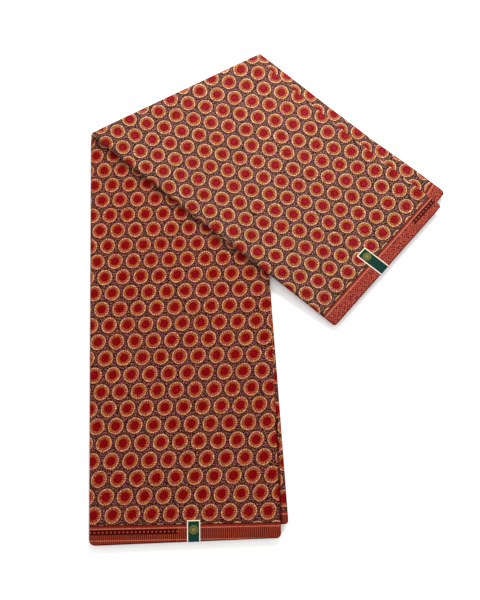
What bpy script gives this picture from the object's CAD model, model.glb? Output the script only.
"""Ankara fabric: a cut of wax-print cotton folded to and fro into a flat strip of leaves, and the
strip folded over once along a slant, with a paper label stuck over each end.

Metres, +Z up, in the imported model's own frame. Every leaf is first made on the strip as if it
ran straight on along Y, at (across, along, height), and a Geometry Nodes tree folds it over.
"""

import math
from collections import namedtuple
from itertools import pairwise

import bmesh
import bpy
from mathutils import Matrix, Vector, noise


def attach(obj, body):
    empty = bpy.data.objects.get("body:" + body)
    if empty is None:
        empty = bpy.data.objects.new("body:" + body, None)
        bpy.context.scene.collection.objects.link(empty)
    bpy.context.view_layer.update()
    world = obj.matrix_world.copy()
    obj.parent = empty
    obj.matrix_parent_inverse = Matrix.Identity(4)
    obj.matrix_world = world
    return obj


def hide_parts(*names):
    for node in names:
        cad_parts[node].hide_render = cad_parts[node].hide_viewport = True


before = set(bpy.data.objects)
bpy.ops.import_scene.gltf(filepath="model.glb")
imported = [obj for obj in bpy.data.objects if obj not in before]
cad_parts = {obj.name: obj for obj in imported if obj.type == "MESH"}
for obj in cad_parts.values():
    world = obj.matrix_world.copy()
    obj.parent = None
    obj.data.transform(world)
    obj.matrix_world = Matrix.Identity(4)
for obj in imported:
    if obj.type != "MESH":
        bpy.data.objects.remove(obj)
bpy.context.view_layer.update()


# The strip of leaves: plain-woven cotton, 19 leaves deep, pressed flat and turned over at a
# slanting fold. The upper limb settles on the lower one and steps down beside it.
LEAF_WIDTH = 0.2905
PACK_HEIGHT = 0.0085
LOWER_CORNER = Vector((-0.2934, -0.3938))
FOLD_ANGLE = math.radians(24.43)
FOLD_AT_LEFT = 0.6562
INSIDE_TURN = 0.0007
TURN_RADIUS = PACK_HEIGHT + INSIDE_TURN
TURN_LENGTH = 2.0 * TURN_RADIUS
STEP_CLEARANCE = 0.002
FLOOR_GAP = 0.0003

FOLD_SIZES = {
    "Corner X": LOWER_CORNER.x,
    "Corner Y": LOWER_CORNER.y,
    "Fold angle": FOLD_ANGLE,
    "Fold place": FOLD_AT_LEFT,
    "Turn radius": TURN_RADIUS,
    "Settle depth": 0.0011,
    "Settle length": 0.05,
    "Step start": LOWER_CORNER.x + LEAF_WIDTH + STEP_CLEARANCE,
    "Step length": 0.13,
    "Step depth": PACK_HEIGHT + FLOOR_GAP,
}


def calc(tree, operation, *values):
    """The result of a Math node, whose values are numbers or other nodes' results."""
    node = tree.nodes.new("ShaderNodeMath")
    node.operation = operation
    for socket, value in zip(node.inputs, values):
        feed(tree, socket, value)
    return node.outputs[0]


def vector_calc(tree, operation, *values):
    """The same, of a Vector Math node."""
    node = tree.nodes.new("ShaderNodeVectorMath")
    node.operation = operation
    for socket, value in zip(node.inputs, values):
        feed(tree, socket, value)
    return node.outputs[0]


def feed(tree, socket, value):
    """Sets a socket to a value, or links another node's result to it."""
    if isinstance(value, bpy.types.NodeSocket):
        tree.links.new(value, socket)
    else:
        socket.default_value = value


def place_node(tree, kind, settings=(), **inputs):
    """A node with its settings made and its inputs fed by name."""
    node = tree.nodes.new(kind)
    for name, value in dict(settings).items():
        setattr(node, name, value)
    for name, value in inputs.items():
        feed(tree, node.inputs[name.replace("_", " ")], value)
    return node


def easing(tree, value, reach, drop):
    """A smooth change from nought to drop, as the value goes from nought to reach."""
    node = place_node(tree, "ShaderNodeMapRange", {"interpolation_type": "SMOOTHSTEP"},
                      Value=value, From_Max=reach, To_Max=drop)
    return node.outputs[0]


def add_inputs(tree, sockets):
    """Inputs of a node tree, from their names and defaults, and the node that gives them."""
    for name, value in sockets.items():
        kind = "NodeSocketInt" if isinstance(value, int) else "NodeSocketFloat"
        tree.interface.new_socket(name, in_out="INPUT", socket_type=kind).default_value = value
    return tree.nodes.new("NodeGroupInput").outputs


def folded_places(tree, sizes):
    """Where each point of the strip comes to lie once the strip is folded over."""
    position = tree.nodes.new("GeometryNodeInputPosition").outputs[0]
    strip = place_node(tree, "ShaderNodeSeparateXYZ", Vector=position).outputs
    across, height = strip["X"], strip["Z"]
    along = calc(tree, "SUBTRACT", strip["Y"], sizes["Fold place"])
    cosine = calc(tree, "COSINE", sizes["Fold angle"])
    sine = calc(tree, "SINE", sizes["Fold angle"])
    radius = sizes["Turn radius"]
    sideways = calc(tree, "MULTIPLY_ADD", across, cosine, calc(tree, "MULTIPLY", along, sine))
    outwards = calc(tree, "SUBTRACT", calc(tree, "MULTIPLY", along, cosine),
                    calc(tree, "MULTIPLY", across, sine))
    past = calc(tree, "ADD", outwards, radius)
    turning = calc(tree, "MULTIPLY", calc(tree, "DIVIDE", past, radius), 0.5 * math.pi)
    angle = calc(tree, "MINIMUM", calc(tree, "MAXIMUM", turning, 0.0), math.pi)
    whole_turn = calc(tree, "MULTIPLY", radius, 2.0)
    beyond = calc(tree, "MAXIMUM", calc(tree, "SUBTRACT", past, whole_turn), 0.0)
    before = calc(tree, "MINIMUM", past, 0.0)
    reach = calc(tree, "SUBTRACT", radius, height)
    swing = calc(tree, "MULTIPLY", reach, calc(tree, "SINE", angle))
    out = calc(tree, "SUBTRACT", calc(tree, "ADD", before, swing),
               calc(tree, "ADD", beyond, radius))
    x = calc(tree, "SUBTRACT", calc(tree, "MULTIPLY_ADD", sideways, cosine, sizes["Corner X"]),
             calc(tree, "MULTIPLY", out, sine))
    y = calc(tree, "ADD", calc(tree, "MULTIPLY_ADD", sideways, sine, sizes["Corner Y"]),
             calc(tree, "MULTIPLY_ADD", out, cosine, sizes["Fold place"]))
    drop = calc(tree, "MULTIPLY", reach, calc(tree, "COSINE", angle))
    rise = calc(tree, "SUBTRACT", radius, drop)
    settled = easing(tree, beyond, sizes["Settle length"], sizes["Settle depth"])
    from_step = calc(tree, "SUBTRACT", x, sizes["Step start"])
    step = easing(tree, from_step, sizes["Step length"], sizes["Step depth"])
    on_upper = calc(tree, "GREATER_THAN", beyond, 0.0)
    fall = calc(tree, "MULTIPLY", on_upper, calc(tree, "ADD", settled, step))
    z = calc(tree, "SUBTRACT", rise, fall)
    return place_node(tree, "ShaderNodeCombineXYZ", X=x, Y=y, Z=z).outputs[0]


def leaves_tree():
    """Copies of one leaf stacked up on the strip, each a little out of line, then folded over."""
    tree = bpy.data.node_groups.new("Folded leaves", "GeometryNodeTree")
    tree.is_modifier = True
    face = tree.interface
    face.new_socket("Leaf", in_out="INPUT", socket_type="NodeSocketGeometry")
    face.new_socket("Cloth", in_out="INPUT", socket_type="NodeSocketMaterial")
    face.new_socket("Leaves", in_out="OUTPUT", socket_type="NodeSocketGeometry")
    stack = {"Count": 1, "Pitch": 0.0, "Left out": -1, "Also left out": -1, "Wander": 0.0,
             "Print slip": 0.0, "Seed": 1}
    given = add_inputs(tree, {**stack, **FOLD_SIZES})

    offset = place_node(tree, "ShaderNodeCombineXYZ", Z=given["Pitch"]).outputs[0]
    line = place_node(tree, "GeometryNodeMeshLine", Count=given["Count"], Offset=offset)
    index = tree.nodes.new("GeometryNodeInputIndex").outputs[0]
    left_out = [calc(tree, "COMPARE", index, given[name], 0.1)
                for name in ("Left out", "Also left out")]
    shown = calc(tree, "LESS_THAN", calc(tree, "ADD", *left_out), 0.5)
    copies = place_node(tree, "GeometryNodeInstanceOnPoints", Points=line.outputs[0],
                        Instance=given["Leaf"], Selection=shown)
    stray = place_node(tree, "FunctionNodeRandomValue", {"data_type": "FLOAT_VECTOR"},
                       Min=(-1.0, -1.0, 0.0), Max=(0.0, 1.0, 0.0), Seed=given["Seed"])
    stray = place_node(tree, "ShaderNodeVectorMath", {"operation": "SCALE"},
                       Vector=stray.outputs["Value"], Scale=given["Wander"])
    moved = place_node(tree, "GeometryNodeTranslateInstances", Instances=copies.outputs[0],
                       Translation=stray.outputs[0])
    slip = place_node(tree, "FunctionNodeRandomValue", Seed=given["Seed"])
    slip = calc(tree, "MULTIPLY", slip.outputs[1], given["Print slip"])
    tagged = place_node(tree, "GeometryNodeStoreNamedAttribute", {"domain": "INSTANCE"},
                        Geometry=moved.outputs[0], Name="Print slip", Value=slip)
    apart = place_node(tree, "GeometryNodeRealizeInstances", Geometry=tagged.outputs[0])
    folded = place_node(tree, "GeometryNodeSetPosition", Geometry=apart.outputs[0],
                        Position=folded_places(tree, given))
    coloured = place_node(tree, "GeometryNodeSetMaterial", Geometry=folded.outputs[0],
                          Material=given["Cloth"])
    end = tree.nodes.new("NodeGroupOutput")
    tree.links.new(coloured.outputs[0], end.inputs[0])
    return tree


folded_leaves = leaves_tree()
RIM_ANGLE = math.radians(40.0)


def fold_piece(name, flat, material, wall, **stack):
    """A finished piece from its flat mesh on the strip: stacked, folded over and given its
    wall, inwards from the face that shows."""
    flat_piece = bpy.data.objects.new(name + "_flat", flat)
    bpy.context.scene.collection.objects.link(flat_piece)
    modifier = flat_piece.modifiers.new("Folded leaves", "NODES")
    modifier.node_group = folded_leaves
    inputs = {item.name: item.identifier for item in folded_leaves.interface.items_tree}
    modifier[inputs["Cloth"]] = material
    for socket, value in stack.items():
        modifier[inputs[socket.replace("_", " ")]] = value
    solidify = flat_piece.modifiers.new("Wall", "SOLIDIFY")
    solidify.thickness = wall
    solidify.offset = -1.0
    solidify.use_even_offset = True
    shown = flat_piece.evaluated_get(bpy.context.evaluated_depsgraph_get())
    mesh = bpy.data.meshes.new_from_object(shown)
    mesh.name = name
    mesh.set_sharp_from_angle(angle=RIM_ANGLE)
    bpy.data.objects.remove(flat_piece, do_unlink=True)
    piece = bpy.data.objects.new(name, mesh)
    bpy.context.scene.collection.objects.link(piece)
    return piece


# A crosswise line on the strip: how far along it lies at the left and right sides, and how far
# its ends stand in from the leaf's sides, which rounds the corners
Rung = namedtuple("Rung", "left right inset")

# A leaf: how far along its two ends lie at the left and right sides, its corner radius, and its
# left and right edges at places along the strip
Sides = namedtuple("Sides", "along left right")
Leaf = namedtuple("Leaf", "low_left low_right high_left high_right corner sides")

# Where the crosswise lines stand square to the strip near its ends, how far before the turn they
# get closer, and how many round a corner
LOWER_SQUARE = 0.06
UPPER_SQUARE = 1.12
TURN_LEAD = 0.003
CORNER_STEPS = 4


def fold_rung(past):
    """The crosswise line that lies a given length past the start of the turn."""
    left = FOLD_AT_LEFT + (past - TURN_RADIUS) / math.cos(FOLD_ANGLE)
    return Rung(left, left + math.tan(FOLD_ANGLE) * LEAF_WIDTH, 0.0)


def rungs_between(first, last, spacing):
    """Crosswise lines from the first up to the last, without the last."""
    steps = math.ceil(0.5 * (last.left + last.right - first.left - first.right) / spacing)
    for step in range(steps):
        yield Rung(*(a + (b - a) * step / steps for a, b in zip(first, last)))


def end_rungs(left, right, corner, inward):
    """Crosswise lines round the corners of a leaf's end, from the end inwards."""
    for step in range(CORNER_STEPS + 1):
        turn = 0.5 * math.pi * step / CORNER_STEPS
        back = inward * corner * (1.0 - math.cos(turn))
        yield Rung(left + back, right + back, corner * (1.0 - math.sin(turn)))


def strip_rungs(leaf, spacing, turn_spacing=0.0008, start=None, stop=None):
    """A leaf's crosswise lines, from its lower end, or from a length past the start of the
    turn, to its upper end or such a length."""
    rungs = []
    if start is None:
        rungs += end_rungs(leaf.low_left, leaf.low_right, leaf.corner, 1.0)
        first = Rung(LOWER_SQUARE, LOWER_SQUARE, 0.0)
        rungs += rungs_between(first, fold_rung(-TURN_LEAD), spacing)
        start = -TURN_LEAD
    if stop is not None:
        return [*rungs, fold_rung(start)]
    steps = math.ceil((TURN_LENGTH - start) / turn_spacing)
    rungs += [fold_rung(start + (TURN_LENGTH - start) * step / steps) for step in range(steps)]
    last = Rung(UPPER_SQUARE, UPPER_SQUARE, 0.0)
    rungs += rungs_between(fold_rung(TURN_LENGTH), last, spacing)
    ending = [*end_rungs(leaf.high_left, leaf.high_right, leaf.corner, -1.0)]
    return [*rungs, last, *reversed(ending)]


def sides_at(sides, along):
    """Where a leaf's left and right edges lie, at a place along the strip."""
    if along <= sides[0].along:
        return sides[0].left, sides[0].right
    for near, far in pairwise(sides):
        if along <= far.along:
            part = (along - near.along) / (far.along - near.along)
            left = near.left + (far.left - near.left) * part
            return left, near.right + (far.right - near.right) * part
    return sides[-1].left, sides[-1].right


# How the print lies on a leaf: the middle of one disc, the lean of its rows, how far the cloth
# is pulled askew and stretched along the strip, and how far its rows and columns bend, a metre
# from that disc, along and across the strip
Print = namedtuple("Print", "across along lean askew stretch bow crown dip draw",
                   defaults=(0.0, 0.0, 0.0, 0.0))
ROW_RATIO = math.sqrt(0.75)


def print_place(lie, across, along):
    """A point of the strip in the print's own undistorted plane."""
    x, y = across - lie.across, along - lie.along
    cosine, sine = math.cos(lie.lean), math.sin(lie.lean)
    column = y * cosine - x * sine
    row = x * cosine + y * sine + lie.askew * column
    bend = Vector((lie.bow * y * y + lie.crown * x * x, lie.dip * x * x + lie.draw * y * y))
    return Vector((row, column / lie.stretch)) + bend


def leaf_mesh(name, rungs, profile, lie, facing=1.0, slid=0.0):
    """A leaf's flat mesh on the strip. profile gives each crosswise line's points as across,
    height and place across the cloth; facing is +1 where the strip's upper face shows, and
    slid is how far the leaf has slid up the strip with its bands."""
    bm = bmesh.new()
    print_layer = bm.loops.layers.uv.new("Print")
    strip_layer = bm.loops.layers.uv.new("Strip")
    rows = []
    cloth_places = {}
    for rung in rungs:
        slope = (rung.right - rung.left) / LEAF_WIDTH
        row = []
        for across, height, cloth in profile(rung):
            along = rung.left + slope * across
            vert = bm.verts.new((across, along, height))
            cloth_places[vert] = (cloth, along)
            row.append(vert)
        rows.append(row if facing > 0.0 else row[::-1])
    for near, far in pairwise(rows):
        for (a, b), (c, d) in zip(pairwise(near), pairwise(far)):
            face = bm.faces.new((a, b, d, c))
            face.smooth = True
            for loop in face.loops:
                cloth, along = cloth_places[loop.vert]
                loop[print_layer].uv = print_place(lie, cloth, along)
                loop[strip_layer].uv = (cloth, along - slid)
    mesh = bpy.data.meshes.new(name)
    bm.to_mesh(mesh)
    bm.free()
    return mesh


# The printed cotton: resist-dyed discs in staggered rows on a dark speckled ground, with a
# brick-red band along each selvedge. Plain weave, a little waxy, with the print's small faults.
def ink(red, green, blue):
    """A colour seen on the cloth, from 0 to 255 a channel, as the linear one that is mixed."""
    return (*((value / 255.0) ** 2.2 for value in (red, green, blue)), 1.0)


PITCH = 0.0293
DISC_RADIUS = 0.0121

# The disc's inks from its middle outwards: how far out each lies, as a share of its radius
Ring = namedtuple("Ring", "out ink")
DISC_RINGS = [
    Ring(0.00, ink(70, 0, 8)),
    Ring(0.07, ink(80, 0, 8)),
    Ring(0.13, ink(118, 0, 10)),
    Ring(0.22, ink(118, 2, 10)),
    Ring(0.34, ink(114, 2, 6)),
    Ring(0.46, ink(108, 2, 2)),
    Ring(0.53, ink(118, 20, 5)),
    Ring(0.62, ink(134, 44, 20)),
    Ring(0.72, ink(134, 50, 24)),
    Ring(0.82, ink(136, 62, 34)),
    Ring(0.89, ink(146, 80, 52)),
]
MAGENTA = ink(158, 14, 55)
CREAM = ink(236, 192, 160)
DULL_CREAM = ink(120, 70, 50)
DARK_RED = ink(96, 8, 2)
OCHRE = ink(160, 98, 28)
PINK = ink(166, 84, 76)
GROUND = ink(16, 4, 0)
OUTLINE = ink(58, 22, 2)
MAUVE = ink(166, 98, 112)
TAN = ink(152, 102, 80)

# A span with soft edges. Those of a disc's parts are shares of its radius from its middle.
Span = namedtuple("Span", "start end soft")
ROSY_RING = Span(0.10, 0.29, 0.04)
STREAKED_RING = Span(0.60, 0.95, 0.1)
STAINED_RING = Span(0.58, 0.97, 0.06)
BEADED_RIM = Span(0.895, 1.2, 0.025)
WHOLE_DISC = Span(-1.0, 1.0, 0.02)
OUTLINE_RING = Span(0.9, 1.16, 0.04)

# How many rays, streaks, beads and dots of the ground go once round a disc
RAYS = 17.0
STREAKS = 18.0
BEADS = 21.0
DOTS = 26.0

# The grain of the print's faults, in noise cells a metre: how the inks drift out of register,
# how the discs are out of round, how dye stains and blotches, and how the wax has cracked
DRIFT_GRAIN = 9.0
WOBBLE_GRAIN = 75.0
STAIN_GRAIN = 120.0
BLOTCH_GRAIN = 150.0
CRACK_GRAIN = 430.0
DRIFT_START = 0.1

# A Mix node's sockets for two colours and their mix, which follow those for numbers
MIX_UNDER = 6
MIX_OVER = 7
MIX_RESULT = 2


def mixed(tree, mask, under, over):
    """One colour over another by a mask."""
    node = tree.nodes.new("ShaderNodeMix")
    node.data_type = "RGBA"
    feed(tree, node.inputs["Factor"], mask)
    feed(tree, node.inputs[MIX_UNDER], under)
    feed(tree, node.inputs[MIX_OVER], over)
    return node.outputs[MIX_RESULT]


def rising(tree, value, start, full):
    """A mask that goes from nought to one, as a value goes from start to full."""
    node = place_node(tree, "ShaderNodeMapRange", Value=value, From_Min=start, From_Max=full)
    return node.outputs[0]


def within(tree, value, span):
    """A mask that is one where a value lies in a span."""
    rise = rising(tree, value, span.start - span.soft, span.start + span.soft)
    fall = rising(tree, value, span.end + span.soft, span.end - span.soft)
    return calc(tree, "MULTIPLY", rise, fall)


def mottle(tree, place, grain, detail=2.0):
    """Noise over the cloth, from nought to one."""
    node = place_node(tree, "ShaderNodeTexNoise", Vector=place, Scale=grain, Detail=detail)
    return node.outputs[0]


def length_of(tree, x, y):
    """How far a place lies from a middle, from its distances both ways."""
    squares = calc(tree, "MULTIPLY_ADD", x, x, calc(tree, "MULTIPLY", y, y))
    return calc(tree, "SQRT", squares)


def waves_round(tree, turn, count):
    """So many waves once round a disc, by the angle about its middle."""
    return calc(tree, "COSINE", calc(tree, "MULTIPLY", turn, count))


def nearest_disc(tree, cloth, pitch):
    """How far right and up of the nearest disc's middle a place lies, and how far from it, all
    in pitches. The rows are two square repeats, the one shifted by half against the other."""
    place = place_node(tree, "ShaderNodeSeparateXYZ", Vector=cloth).outputs
    x = calc(tree, "DIVIDE", place["X"], pitch)
    y = calc(tree, "DIVIDE", place["Y"], calc(tree, "MULTIPLY", pitch, 2.0 * ROW_RATIO))
    found = []
    for shift in (0.5, 0.0):
        right, up = (calc(tree, "FRACT", calc(tree, "ADD", value, shift)) for value in (x, y))
        right = calc(tree, "SUBTRACT", right, 0.5)
        up = calc(tree, "MULTIPLY", calc(tree, "SUBTRACT", up, 0.5), 2.0 * ROW_RATIO)
        found.append((right, up, length_of(tree, right, up)))
    even, odd = found
    nearer = calc(tree, "LESS_THAN", even[-1], odd[-1])
    return [place_node(tree, "ShaderNodeMix", Factor=nearer, A=from_odd, B=from_even).outputs[0]
            for from_even, from_odd in zip(even, odd)]


# A place on the print: where it lies on the cloth, right and up of the nearest disc's middle,
# the angle about that, how far out as a share of the disc's radius, and the crackle and stain
Spot = namedtuple("Spot", "cloth right up turn out crack stain")


def disc_colour(tree, given, spot):
    """A disc: rings of ink a little out of register, a streaked halo and a beaded pale rim."""
    drift = calc(tree, "SUBTRACT", mottle(tree, spot.cloth, DRIFT_GRAIN), DRIFT_START)
    slip = calc(tree, "DIVIDE", calc(tree, "MULTIPLY", drift, given["Slip"]), given["Pitch"])
    slipped = length_of(tree, calc(tree, "ADD", spot.right, slip),
                        calc(tree, "SUBTRACT", spot.up, slip))
    size = calc(tree, "DIVIDE", given["Pitch"], given["Disc radius"])
    inks_out = calc(tree, "MULTIPLY", waves_round(tree, spot.turn, RAYS), given["Ray depth"])
    inks_out = calc(tree, "MULTIPLY_ADD", slipped, size, inks_out)
    inks_out = calc(tree, "MULTIPLY_ADD", spot.crack, given["Ink crackle"], inks_out)
    ramp = place_node(tree, "ShaderNodeValToRGB", Fac=inks_out)
    points = ramp.color_ramp.elements
    for index, ring in enumerate(DISC_RINGS):
        point = points[index] if index < len(points) else points.new(ring.out)
        point.position = ring.out
        point.color = ring.ink

    blotch = mottle(tree, spot.cloth, BLOTCH_GRAIN, detail=1.0)
    rosy = calc(tree, "MULTIPLY", rising(tree, blotch, start=0.36, full=0.66), given["Rosy"])
    rosy = calc(tree, "MULTIPLY", rosy, within(tree, inks_out, ROSY_RING))
    disc = mixed(tree, rosy, ramp.outputs[0], MAGENTA)

    streak = calc(tree, "MULTIPLY_ADD", spot.crack, given["Streak crackle"],
                  waves_round(tree, spot.turn, STREAKS))
    streaked = within(tree, spot.out, STREAKED_RING)
    for side, strength, dye in (("MAXIMUM", given["Pale streaks"], CREAM),
                                ("MINIMUM", given["Dark streaks"], DARK_RED)):
        depth = calc(tree, "ABSOLUTE", calc(tree, side, streak, 0.0))
        depth = calc(tree, "MULTIPLY", depth, strength)
        disc = mixed(tree, calc(tree, "MULTIPLY", depth, streaked), disc, dye)

    bead = calc(tree, "MULTIPLY_ADD", waves_round(tree, spot.turn, BEADS), given["Bead depth"],
                given["Bead level"])
    bead = calc(tree, "MULTIPLY_ADD", spot.crack, given["Bead crackle"], bead)
    rim = mixed(tree, rising(tree, bead, start=0.2, full=0.8), DULL_CREAM, CREAM)
    disc = mixed(tree, within(tree, spot.out, BEADED_RIM), disc, rim)

    strength = calc(tree, "MULTIPLY", within(tree, spot.out, STAINED_RING), given["Stain"])
    for dye, start, full in ((OCHRE, 0.52, 0.66), (PINK, 0.48, 0.34)):
        stained = calc(tree, "MULTIPLY", rising(tree, spot.stain, start, full), strength)
        disc = mixed(tree, stained, disc, dye)
    return disc


def ground_colour(tree, given, spot):
    """The dark ground: flecks in rows round the nearest disc, and that disc's outline."""
    rows = calc(tree, "COSINE", calc(tree, "MULTIPLY", spot.out, given["Dot rows"]))
    dots = calc(tree, "MULTIPLY_ADD", rows, waves_round(tree, spot.turn, DOTS),
                calc(tree, "MULTIPLY", spot.crack, given["Dot crackle"]))
    fleck = mixed(tree, rising(tree, spot.stain, start=0.4, full=0.6), MAUVE, TAN)
    ground = mixed(tree, rising(tree, dots, start=0.2, full=0.4), GROUND, fleck)
    outlined = calc(tree, "MULTIPLY", within(tree, spot.out, OUTLINE_RING), given["Outline"])
    return mixed(tree, outlined, ground, OUTLINE)


def disc_print_group():
    """The staggered discs and the speckled ground, by a place in the print's plane."""
    tree = bpy.data.node_groups.new("Disc print", "ShaderNodeTree")
    tree.interface.new_socket("Place", in_out="INPUT", socket_type="NodeSocketVector")
    tree.interface.new_socket("Colour", in_out="OUTPUT", socket_type="NodeSocketColor")
    given = add_inputs(tree, {
        "Pitch": PITCH,
        "Disc radius": DISC_RADIUS,
        "Scallop": 0.016,
        "Wobble": 0.22,
        "Crackle": 0.30,
        "Slip": 0.0006,
        "Ray depth": 0.04,
        "Ink crackle": 0.4,
        "Rosy": 1.0,
        "Pale streaks": 0.2,
        "Dark streaks": 0.45,
        "Streak crackle": 4.5,
        "Bead depth": 0.34,
        "Bead level": 0.56,
        "Bead crackle": 3.2,
        "Stain": 0.6,
        "Dot rows": math.tau / 0.29,
        "Dot crackle": 4.0,
        "Outline": 0.8,
    })
    cloth = given["Place"]
    right, up, distance = nearest_disc(tree, cloth, given["Pitch"])
    turn = calc(tree, "ARCTAN2", up, right)
    crack = calc(tree, "SUBTRACT", mottle(tree, cloth, CRACK_GRAIN), 0.5)
    wobble = calc(tree, "SUBTRACT", mottle(tree, cloth, WOBBLE_GRAIN), 0.5)
    size = calc(tree, "DIVIDE", given["Pitch"], given["Disc radius"])
    out = calc(tree, "MULTIPLY", waves_round(tree, turn, BEADS), given["Scallop"])
    out = calc(tree, "MULTIPLY_ADD", wobble, given["Wobble"], out)
    out = calc(tree, "MULTIPLY_ADD", distance, size, out)
    out = calc(tree, "MULTIPLY_ADD", crack, given["Crackle"], out)
    stain = mottle(tree, cloth, STAIN_GRAIN, detail=1.0)
    spot = Spot(cloth, right, up, turn, out, crack, stain)
    colour = mixed(tree, within(tree, out, WHOLE_DISC), ground_colour(tree, given, spot),
                   disc_colour(tree, given, spot))
    end = tree.nodes.new("NodeGroupOutput")
    tree.links.new(colour, end.inputs["Colour"])
    return tree


BAND_RED = ink(124, 42, 32)
BAND_DARK = ink(62, 10, 6)
BAND_ORANGE = ink(150, 66, 50)
BAND_LINE = ink(60, 10, 6)
BAND_PALE = ink(184, 108, 90)
BAND_SCARLET = ink(156, 66, 56)
BAND_SPECK = ink(78, 8, 8)

# The band's lines, past its inner line or in from the selvedge, and a dot of its dark bar, as
# shares of the dots' pitch
WHOLE_BAND = Span(0.0, 0.1, 0.0002)
INNER_LINE = Span(-0.001, 0.0014, 0.0004)
RED_BORDER = Span(-0.001, 0.0062, 0.0003)
PALE_LINE = Span(0.0046, 0.0060, 0.0003)
OUTER_LINE = Span(0.0216, 0.0226, 0.0003)
EDGE_LINE = Span(-0.01, 0.0014, 0.0004)
BAR_DOT = Span(-1.0, 0.24, 0.05)
KNOT_GRAIN = 300.0


def ripples(tree, value, pitch):
    """Waves of a given length."""
    return calc(tree, "SINE", calc(tree, "MULTIPLY", calc(tree, "DIVIDE", value, pitch), math.tau))


def between(tree, value, start, end):
    """A mask that is one from start to end, and the middle of the two."""
    middle = calc(tree, "MULTIPLY", calc(tree, "ADD", start, end), 0.5)
    half = calc(tree, "MULTIPLY", calc(tree, "SUBTRACT", end, start), 0.5)
    return calc(tree, "COMPARE", value, middle, half), middle


def selvedge_band_group():
    """The band along a selvedge, striped or knotted, by how far along it a place lies, how far
    past the band's inner line, and how far from the selvedge itself."""
    tree = bpy.data.node_groups.new("Selvedge band", "ShaderNodeTree")
    tree.interface.new_socket("Colour", in_out="OUTPUT", socket_type="NodeSocketColor")
    tree.interface.new_socket("Band", in_out="OUTPUT", socket_type="NodeSocketFloat")
    given = add_inputs(tree, {
        "Along": 0.0,
        "Past line": 0.0,
        "From edge": 0.0,
        "Stripes": 1.0,
        "Stripe pitch": 0.0031,
        "Knot pitch": 0.0042,
        "Knot crackle": 4.0,
        "Bar start": 0.0,
        "Bar end": 0.0,
        "Bar near": 0.0,
        "Bar far": 0.0,
        "Dot pitch": 0.0062,
    })
    along, past = given["Along"], given["Past line"]

    stripe = calc(tree, "MULTIPLY_ADD", ripples(tree, along, given["Stripe pitch"]), 0.5, 0.5)
    striped = mixed(tree, stripe, BAND_ORANGE, BAND_DARK)
    place = place_node(tree, "ShaderNodeCombineXYZ", X=along, Y=past).outputs[0]
    rough = calc(tree, "SUBTRACT", mottle(tree, place, KNOT_GRAIN, detail=1.0), 0.5)
    knots = [ripples(tree, value, given["Knot pitch"]) for value in (along, past)]
    knot = calc(tree, "MULTIPLY_ADD", rough, given["Knot crackle"],
                calc(tree, "MULTIPLY", *knots))
    knotted = mixed(tree, rising(tree, knot, start=0.05, full=0.4), BAND_SCARLET, BAND_SPECK)
    field = mixed(tree, given["Stripes"], knotted, striped)
    for line, dye in ((RED_BORDER, BAND_RED), (PALE_LINE, BAND_PALE), (INNER_LINE, BAND_LINE)):
        field = mixed(tree, within(tree, past, line), field, dye)

    in_length, _ = between(tree, along, given["Bar start"], given["Bar end"])
    in_width, bar_middle = between(tree, past, given["Bar near"], given["Bar far"])
    bar = calc(tree, "MULTIPLY", in_length, in_width)
    field = mixed(tree, bar, field, BAND_LINE)
    dot_along = calc(tree, "FRACT", calc(tree, "DIVIDE", along, given["Dot pitch"]))
    dot_past = calc(tree, "DIVIDE", calc(tree, "SUBTRACT", past, bar_middle), given["Dot pitch"])
    from_dot = length_of(tree, calc(tree, "SUBTRACT", dot_along, 0.5), dot_past)
    dot = calc(tree, "MULTIPLY", within(tree, from_dot, BAR_DOT), bar)
    field = mixed(tree, dot, field, BAND_ORANGE)

    outer_line = calc(tree, "MULTIPLY", within(tree, past, OUTER_LINE), given["Stripes"])
    field = mixed(tree, outer_line, field, BAND_PALE)
    field = mixed(tree, within(tree, given["From edge"], EDGE_LINE), field, BAND_DARK)
    end = tree.nodes.new("NodeGroupOutput")
    tree.links.new(field, end.inputs["Colour"])
    tree.links.new(within(tree, past, WHOLE_BAND), end.inputs["Band"])
    return tree


def plain_weave_group():
    """The relief of a plain weave: warp and weft threads that pass over each other in turn."""
    tree = bpy.data.node_groups.new("Plain weave", "ShaderNodeTree")
    tree.interface.new_socket("Place", in_out="INPUT", socket_type="NodeSocketVector")
    tree.interface.new_socket("Relief", in_out="OUTPUT", socket_type="NodeSocketFloat")
    given = add_inputs(tree, {"Threads a metre": 2600.0})
    place = place_node(tree, "ShaderNodeSeparateXYZ", Vector=given["Place"]).outputs
    half_turns = calc(tree, "MULTIPLY", given["Threads a metre"], math.pi)
    waves = [calc(tree, "SINE", calc(tree, "MULTIPLY", place[axis], half_turns))
             for axis in ("X", "Y")]
    over = calc(tree, "MULTIPLY", *waves)
    end = tree.nodes.new("NodeGroupOutput")
    tree.links.new(calc(tree, "ABSOLUTE", over), end.inputs["Relief"])
    return tree


disc_print = disc_print_group()
selvedge_band = selvedge_band_group()
plain_weave = plain_weave_group()

# A band's dark bar: from where to where along the selvedge and past the band's inner line
Bar = namedtuple("Bar", "start end near far")

# A selvedge: where its band's inner line and its edge lie along the strip at the left side, how
# much further along they lie at a metre across, and how strongly the band is striped
Selvedge = namedtuple("Selvedge", "line line_lean edge edge_lean stripes bar")
LOWER_SELVEDGE = Selvedge(0.0288, -0.018, 0.0, 0.0034, 1.0, Bar(-0.01, 0.134, 0.0068, 0.0140))
UPPER_SELVEDGE = Selvedge(1.1497, 0.0618, 1.1756, 0.0623, 0.0,
                          Bar(0.212, 0.2655, 0.0063, 0.0138))

# The dark line down the leaf's right side, near its lower end: where it lies across and along
# the strip, how much it leans, and how dark it is
SIDE_LINE = Span(0.2879, 0.2912, 0.0004)
SIDE_LINE_RUN = Span(-0.1, 0.165, 0.01)
SIDE_LINE_LEAN = -0.004
SIDE_LINE_DEPTH = 0.85

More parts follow.
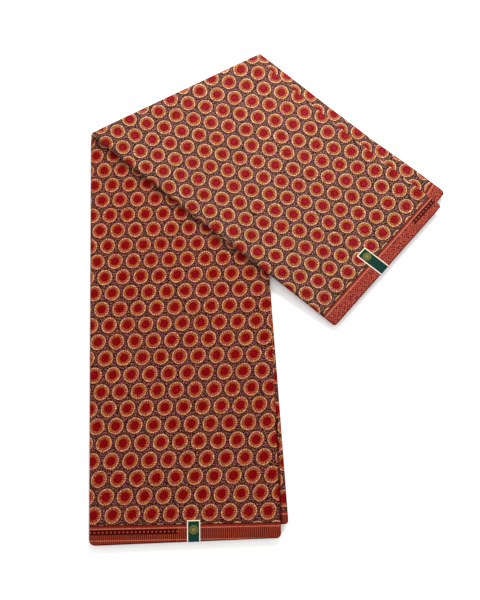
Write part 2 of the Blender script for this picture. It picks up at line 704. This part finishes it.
# How unevenly the cloth took up its dyes, and how fine the patches are, in cells a metre
UNEVEN = 1.4
DYE_GRAIN = 340.0


def group_node(tree, group, **inputs):
    """A shader group placed in a material, with its inputs fed by name."""
    return place_node(tree, "ShaderNodeGroup", {"node_tree": group}, **inputs)


def new_material(name, **constants):
    """A material and its shader, with constants on the shader's own sockets."""
    material = bpy.data.materials.new(name)
    material.use_nodes = True
    shader = material.node_tree.nodes["Principled BSDF"]
    for socket, value in constants.items():
        shader.inputs[socket.replace("_", " ")].default_value = value
    return material, shader


def printed_cotton(name, tone, wash, rosy):
    """The cloth's material: the print, the bands, the dyes' uneven take-up and the weave's
    relief. tone is how strongly a face shows red, green and blue, wash the pale cloth that
    shows through, and rosy how strongly its discs show magenta."""
    material, shader = new_material(name, Roughness=0.62, Specular_IOR_Level=0.03,
                                    Sheen_Weight=0.03, Sheen_Roughness=0.3)
    tree = material.node_tree
    on_print = place_node(tree, "ShaderNodeUVMap", {"uv_map": "Print"}).outputs[0]
    on_strip = place_node(tree, "ShaderNodeUVMap", {"uv_map": "Strip"}).outputs[0]
    slip = place_node(tree, "ShaderNodeAttribute", {"attribute_name": "Print slip"})
    offset = place_node(tree, "ShaderNodeCombineXYZ", X=slip.outputs["Fac"])
    moved = vector_calc(tree, "ADD", on_print, offset.outputs[0])
    colour = group_node(tree, disc_print, Place=moved, Rosy=rosy).outputs["Colour"]
    strip = place_node(tree, "ShaderNodeSeparateXYZ", Vector=on_strip).outputs
    for selvedge, outward in ((LOWER_SELVEDGE, -1.0), (UPPER_SELVEDGE, 1.0)):
        line = calc(tree, "MULTIPLY_ADD", strip["X"], selvedge.line_lean, selvedge.line)
        edge = calc(tree, "MULTIPLY_ADD", strip["X"], selvedge.edge_lean, selvedge.edge)
        past = calc(tree, "MULTIPLY", calc(tree, "SUBTRACT", strip["Y"], line), outward)
        from_edge = calc(tree, "MULTIPLY", calc(tree, "SUBTRACT", edge, strip["Y"]), outward)
        band = group_node(tree, selvedge_band, Along=strip["X"], Past_line=past,
                          From_edge=from_edge, Stripes=selvedge.stripes,
                          Bar_start=selvedge.bar.start, Bar_end=selvedge.bar.end,
                          Bar_near=selvedge.bar.near, Bar_far=selvedge.bar.far)
        colour = mixed(tree, band.outputs["Band"], colour, band.outputs["Colour"])
    from_left = calc(tree, "MULTIPLY_ADD", strip["Y"], SIDE_LINE_LEAN, strip["X"])
    side_line = calc(tree, "MULTIPLY", within(tree, from_left, SIDE_LINE),
                     within(tree, strip["Y"], SIDE_LINE_RUN))
    colour = mixed(tree, calc(tree, "MULTIPLY", side_line, SIDE_LINE_DEPTH), colour, BAND_DARK)

    dyes = place_node(tree, "ShaderNodeTexNoise", Vector=on_strip, Scale=DYE_GRAIN, Detail=2.0)
    strong = [UNEVEN * share for share in tone]
    weak = [(1.0 - 0.5 * UNEVEN) * share for share in tone]
    taken = vector_calc(tree, "MULTIPLY_ADD", dyes.outputs["Color"], strong, weak)
    dyed = vector_calc(tree, "MULTIPLY_ADD", colour, taken, wash)
    tree.links.new(dyed, shader.inputs["Base Color"])
    weave = group_node(tree, plain_weave, Place=on_strip)
    bump = place_node(tree, "ShaderNodeBump", Strength=0.35, Distance=0.0001,
                      Height=weave.outputs["Relief"])
    tree.links.new(bump.outputs[0], shader.inputs["Normal"])
    return material


# The two outermost leaves, single printed cotton. The lower limb's top leaf rolls round the
# pack's left side, and so does the leaf that comes out on top once the strip is folded over.
printed = printed_cotton("Printed cotton", tone=(0.74, 0.64, 0.55), wash=(0.0, 0.0, 0.0),
                         rosy=0.3)
paler_face = printed_cotton("Printed cotton, paler face", tone=(0.77, 0.82, 0.75),
                            wash=(0.0, 0.0025, 0.0015), rosy=1.0)
CLOTH = 0.0003
CELL = 0.004
ROLL_RADIUS = 0.5 * PACK_HEIGHT
ROLL_CELLS = 10

LOWER_PRINT = Print(0.1296, 0.1723, math.radians(-0.58), -0.127, 1.029, bow=0.095)
UPPER_PRINT = Print(0.1325, 0.9622, math.radians(3.37), -0.010, 1.018, bow=-0.02,
                    crown=-0.16, dip=0.07, draw=0.04)

LOWER_TOP = Leaf(0.0, 0.001, 1.172, 1.182, 0.007, [
    Sides(0.0, 0.0, 0.2887),
    Sides(0.45, 0.0, LEAF_WIDTH),
])
UPPER_TOP = Leaf(0.0015, 0.0025, 1.1756, 1.1937, 0.004, [
    Sides(0.6800, 0.0, 0.2793),
    Sides(0.7904, -0.0010, 0.2793),
    Sides(1.0100, -0.0020, 0.2700),
    Sides(1.1923, -0.0010, 0.2645),
])

# How far the cloth lies off the leaf below it, what share of that is even, and how far from the
# rolled edge it is all there. It swells and ripples: how often in a metre across and along,
# where in the noise, and by what share.
SLACK = 0.00035
EVEN_SHARE = 0.5
SLACK_EASE = 0.02
Swelling = namedtuple("Swelling", "across along layer share")
SWELLINGS = [
    Swelling(9.0, 7.0, 3.7, 0.6),
    Swelling(26.0, 17.0, 8.1, 0.25),
]


def slack(across, along):
    """How far the cloth lies off the leaf below it, in long soft swellings."""
    share = EVEN_SHARE
    for swelling in SWELLINGS:
        spot = Vector((across * swelling.across, along * swelling.along, swelling.layer))
        share += swelling.share * noise.noise(spot)
    return SLACK * share


def flat_places(rung, sides, cell, left_in=0.0):
    """Places across a leaf along a crosswise line, from its left edge to its right one."""
    left = sides_at(sides, rung.left)[0] + rung.inset + left_in
    right = sides_at(sides, rung.right)[1] - rung.inset
    count = round(LEAF_WIDTH / cell)
    return [left + (right - left) * column / count for column in range(count + 1)]


def rolled_profile(leaf, facing):
    """The outermost leaf's section: flat on the face that shows, +1 for the strip's upper
    one, and rolled round its left side to the other."""
    def profile(rung):
        flat = flat_places(rung, leaf.sides, CELL, ROLL_RADIUS)
        points = []
        for step in range(ROLL_CELLS):
            turn = math.pi * step / ROLL_CELLS
            height = ROLL_RADIUS * (1.0 - facing * math.cos(turn))
            cloth = flat[0] - ROLL_RADIUS * (math.pi - turn)
            points.append((flat[0] - ROLL_RADIUS * math.sin(turn), height, cloth))
        face = ROLL_RADIUS * (1.0 + facing)
        for across in flat:
            ease = min((across - flat[0]) / SLACK_EASE, 1.0)
            lift = facing * ease * slack(across, rung.left)
            points.append((across, face + lift, across))
        return points
    return profile


lower_rungs = strip_rungs(LOWER_TOP, CELL, stop=0.0)
flat = leaf_mesh("lower_top_cloth", lower_rungs, rolled_profile(LOWER_TOP, 1.0), LOWER_PRINT)
lower_top = fold_piece("lower_top_cloth", flat, printed, CLOTH)
upper_rungs = strip_rungs(UPPER_TOP, CELL, start=-TURN_LEAD)
flat = leaf_mesh("upper_top_cloth", upper_rungs, rolled_profile(UPPER_TOP, -1.0), UPPER_PRINT,
                 facing=-1.0)
upper_top = fold_piece("upper_top_cloth", flat, paler_face, CLOTH)
for piece, node, flat_size, area in (
    (lower_top, "lower_top_leaf", (0.300, 0.790), 0.217),
    (upper_top, "upper_top_leaf", (0.300, 0.540), 0.144),
):
    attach(piece, "root")
    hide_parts(node)


# The hidden leaves: the same cotton in folded pairs that lie one on another inside the outermost
# leaf, with their folds at the pack's right side and their selvedges at its ends, none quite in
# line. Two of the pairs slide out and show, and are made apart.
PAIR_PITCH = 0.00095
PAIR_THICKNESS = 0.00085
PAIR_CLOTH = 0.00025
FIRST_PAIR = 0.0004
PAIRS = 8
FOLD_CELLS = 5
UPPER_UNDER_PAIR = 0
LOWER_UNDER_PAIR = 6

HIDDEN = Leaf(0.0015, 0.0025, 1.172, 1.182, 0.006, [
    Sides(0.0, 0.0052, 0.2885),
    Sides(0.45, 0.0052, 0.2900),
    Sides(1.18, 0.0052, 0.2885),
])


def paired_profile(leaf, bottom, cell):
    """The section of a leaf folded back on itself at its right edge."""
    radius = 0.5 * PAIR_THICKNESS
    fold_line = LEAF_WIDTH - radius

    def profile(rung):
        *flat, edge = flat_places(rung, leaf.sides, cell)
        middle = edge - radius
        points = [(across, bottom, 2.0 * fold_line - across) for across in flat]
        for step in range(FOLD_CELLS + 1):
            turn = math.pi * step / FOLD_CELLS
            cloth = middle + 2.0 * (fold_line - middle) * (1.0 - step / FOLD_CELLS)
            points.append((middle + radius * math.sin(turn),
                           bottom + radius * (1.0 - math.cos(turn)), cloth))
        points += [(across, bottom + PAIR_THICKNESS, across) for across in reversed(flat)]
        return points
    return profile


hidden_rungs = strip_rungs(HIDDEN, spacing=0.012, turn_spacing=0.0016)
hidden_profile = paired_profile(HIDDEN, FIRST_PAIR, cell=0.015)
flat = leaf_mesh("hidden_cloth", hidden_rungs, hidden_profile, LOWER_PRINT)
hidden = fold_piece("hidden_cloth", flat, printed, PAIR_CLOTH, Count=PAIRS, Pitch=PAIR_PITCH,
                    Left_out=UPPER_UNDER_PAIR, Also_left_out=LOWER_UNDER_PAIR, Wander=0.0016,
                    Print_slip=PITCH, Seed=4)
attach(hidden, "root")
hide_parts("lower_leaves", "turn_leaves", "upper_leaves")


# The leaf next to the top one on each limb, a folded pair of the same cotton that has slid out
# at the right: beside the lower limb near its end, and along the upper limb's far side.
LOWER_UNDER = Leaf(0.022, 0.020, 1.170, 1.180, 0.005, [
    Sides(0.02, 0.0090, 0.3003),
    Sides(0.24, 0.0060, 0.2948),
    Sides(0.42, 0.0055, 0.2900),
    Sides(1.18, 0.0055, 0.2870),
])
UPPER_UNDER = Leaf(0.0030, 0.0035, 1.174, 1.1815, 0.005, [
    Sides(0.0, 0.0060, 0.2870),
    Sides(0.60, 0.0055, 0.2885),
    Sides(0.7904, 0.0055, 0.2897),
    Sides(0.90, 0.0055, LEAF_WIDTH),
    Sides(0.98, 0.0055, 0.2896),
    Sides(1.03, 0.0055, 0.2882),
    Sides(1.13, 0.0055, 0.2890),
    Sides(1.18, 0.0055, 0.2878),
])
LOWER_UNDER_PRINT = Print(0.2960, 0.0568, math.radians(-0.58), -0.06, 1.029)
UPPER_UNDER_PRINT = Print(0.2967, 1.0080, 0.0, -0.0347, 1.015)
LOWER_SLID = 0.0162
UPPER_SLID = -0.0122

for name, node, leaf, pair, lie, cotton, slid in (
    ("lower_under_cloth", "lower_under_leaf", LOWER_UNDER, LOWER_UNDER_PAIR, LOWER_UNDER_PRINT,
     printed, LOWER_SLID),
    ("upper_under_cloth", "upper_under_leaf", UPPER_UNDER, UPPER_UNDER_PAIR, UPPER_UNDER_PRINT,
     paler_face, UPPER_SLID),
):
    rungs = strip_rungs(leaf, spacing=0.008, turn_spacing=0.0012)
    profile = paired_profile(leaf, FIRST_PAIR + PAIR_PITCH * pair, cell=0.012)
    flat = leaf_mesh(name, rungs, profile, lie, slid=slid)
    piece = fold_piece(name, flat, cotton, PAIR_CLOTH)
    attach(piece, "root")
    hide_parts(node)


# The paper labels: printed strips stuck over the selvedge of each top leaf and turned under it,
# green running to teal, with a cream border on three sides and a plain gold disc.
Label = namedtuple("Label", "across lean shown disc")
LOWER_LABEL = Label(0.1579, math.radians(1.0), 0.0305, 0.0135)
UPPER_LABEL = Label(0.1205, math.radians(0.4), 0.0480, 0.0125)
LABEL_WIDTH = 0.0196
LABEL_UNDER = 0.0035
LABEL_BEND = 0.0004
LABEL_PAPER = 0.00012
LABEL_ROWS = 16
LABEL_COLUMNS = 8
BEND_STEPS = 6

TEAL = ink(0, 44, 42)
GREEN = ink(0, 49, 27)
OLIVE = ink(60, 73, 36)
GOLD = ink(114, 96, 53)
PAPER_CREAM = ink(218, 200, 180)
PAPER_GRAIN = 700.0

# The label's disc, out from its middle, and its border, in from its sides and its end
DISC_FIELD = Span(-1.0, 0.0066, 0.0004)
DISC_EDGE = Span(0.0052, 0.0062, 0.0002)
DISC_MIDDLE = Span(-1.0, 0.0030, 0.0003)
LABEL_BORDER = Span(-1.0, 0.0014, 0.0001)


def label_paper(name, label):
    """A label's printed paper, by its own UV map: across from its middle line, and inwards."""
    material, shader = new_material(name, Roughness=0.5, Specular_IOR_Level=0.1)
    tree = material.node_tree
    place = place_node(tree, "ShaderNodeUVMap", {"uv_map": "Paper"}).outputs[0]
    paper = place_node(tree, "ShaderNodeSeparateXYZ", Vector=place).outputs
    colour = mixed(tree, rising(tree, paper["Y"], 0.0, label.shown), TEAL, GREEN)
    rise = calc(tree, "SUBTRACT", paper["Y"], label.shown - label.disc)
    out = length_of(tree, paper["X"], rise)
    for part, dye in ((DISC_FIELD, OLIVE), (DISC_EDGE, GOLD), (DISC_MIDDLE, GOLD)):
        colour = mixed(tree, within(tree, out, part), colour, dye)
    side = calc(tree, "SUBTRACT", 0.5 * LABEL_WIDTH, calc(tree, "ABSOLUTE", paper["X"]))
    end = calc(tree, "SUBTRACT", label.shown, paper["Y"])
    border = within(tree, calc(tree, "MINIMUM", side, end), LABEL_BORDER)
    colour = mixed(tree, border, colour, PAPER_CREAM)
    speck = place_node(tree, "ShaderNodeMapRange", Value=mottle(tree, place, PAPER_GRAIN),
                       To_Min=0.92, To_Max=1.08)
    toned = place_node(tree, "ShaderNodeHueSaturation", Color=colour, Value=speck.outputs[0])
    tree.links.new(toned.outputs[0], shader.inputs["Base Color"])
    return material


def label_mesh(name, label, selvedge, inward, level, side):
    """A label's flat mesh: along the strip from its inner end, over the selvedge and under.
    inward is +1 where that end lies up the strip, level is the height of the leaf it is stuck
    to, and side is +1 where the strip's upper face shows."""
    bm = bmesh.new()
    paper_layer = bm.loops.layers.uv.new("Paper")
    profile = [(label.shown * (1.0 - step / LABEL_ROWS), LABEL_BEND) for step in range(LABEL_ROWS)]
    for step in range(BEND_STEPS + 1):
        turn = math.pi * (0.5 - step / BEND_STEPS)
        profile.append((-LABEL_BEND * math.cos(turn), LABEL_BEND * math.sin(turn)))
    profile.append((LABEL_UNDER, -LABEL_BEND))
    rows = []
    papers = {}
    for inwards, up in profile:
        row = []
        for step in range(LABEL_COLUMNS + 1):
            offset = LABEL_WIDTH * (step / LABEL_COLUMNS - 0.5)
            across = label.across + offset + max(inwards, 0.0) * math.tan(label.lean)
            along = selvedge.edge + selvedge.edge_lean * across + inward * inwards
            height = level + side * (up - 0.5 * CLOTH)
            if up > 0.0:
                height += side * slack(across, along)
            vert = bm.verts.new((across, along, height))
            papers[vert] = (offset, inwards if up >= LABEL_BEND else -abs(up))
            row.append(vert)
        rows.append(row)
    for near, far in pairwise(rows):
        for (a, b), (c, d) in zip(pairwise(near), pairwise(far)):
            face = bm.faces.new((c, d, b, a))
            face.smooth = True
            for loop in face.loops:
                loop[paper_layer].uv = papers[loop.vert]
    mesh = bpy.data.meshes.new(name)
    bm.to_mesh(mesh)
    bm.free()
    return mesh


for name, node, label, selvedge, inward, level, side in (
    ("lower_paper", "lower_label", LOWER_LABEL, LOWER_SELVEDGE, 1.0, PACK_HEIGHT, 1.0),
    ("upper_paper", "upper_label", UPPER_LABEL, UPPER_SELVEDGE, -1.0, 0.0, -1.0),
):
    flat = label_mesh(name, label, selvedge, inward, level, side)
    piece = fold_piece(name, flat, label_paper(name, label), LABEL_PAPER)
    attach(piece, "root")
    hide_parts(node)


# The surface it lies on, plain and pale, soft studio light from above and behind, and the
# camera, which looks down on the cloth almost squarely.
SURFACE_REACH = 3.0
SURFACE_DROP = 0.0004
bm = bmesh.new()
bmesh.ops.create_grid(bm, x_segments=1, y_segments=1, size=SURFACE_REACH)
bmesh.ops.translate(bm, verts=bm.verts, vec=(0.0, 0.0, -SURFACE_DROP))
surface_mesh = bpy.data.meshes.new("surface")
bm.to_mesh(surface_mesh)
bm.free()
surface = bpy.data.objects.new("surface", surface_mesh)
bpy.context.scene.collection.objects.link(surface)
paint, _ = new_material("Pale surface", Base_Color=(0.96, 0.96, 0.96, 1.0), Roughness=0.9)
surface_mesh.materials.append(paint)

world = bpy.data.worlds.new("Studio")
world.use_nodes = True
background = world.node_tree.nodes["Background"]
background.inputs["Color"].default_value = (1.0, 0.99, 0.98, 1.0)
background.inputs["Strength"].default_value = 1.05
bpy.context.scene.world = world

LAMP_PLACE = Vector((0.25, 1.25, 0.78))
light = bpy.data.lights.new("Key", "AREA")
light.size = 0.6
light.energy = 36.0
lamp = bpy.data.objects.new("Key", light)
lamp.location = LAMP_PLACE
lamp.rotation_euler = (-LAMP_PLACE).to_track_quat("-Z", "Y").to_euler()
bpy.context.scene.collection.objects.link(lamp)

CAMERA_PLACE = Vector((-0.0436, -0.1571, 0.8077))
CAMERA_AIM = Vector((-0.0517, -0.0306, 0.0))
CAMERA_UP = Vector((0.0432, 0.9871, 0.1542))
camera = bpy.data.cameras.new("Camera")
camera.lens = 30.34
camera.sensor_width = 36.0
eye = bpy.data.objects.new("Camera", camera)
look = (CAMERA_AIM - CAMERA_PLACE).normalized()
right = look.cross(CAMERA_UP).normalized()
turned = Matrix((right, right.cross(look), -look)).transposed()
eye.matrix_world = Matrix.Translation(CAMERA_PLACE) @ turned.to_4x4()
bpy.context.scene.collection.objects.link(eye)
bpy.context.scene.camera = eye
bpy.context.scene.view_settings.view_transform = "Standard"
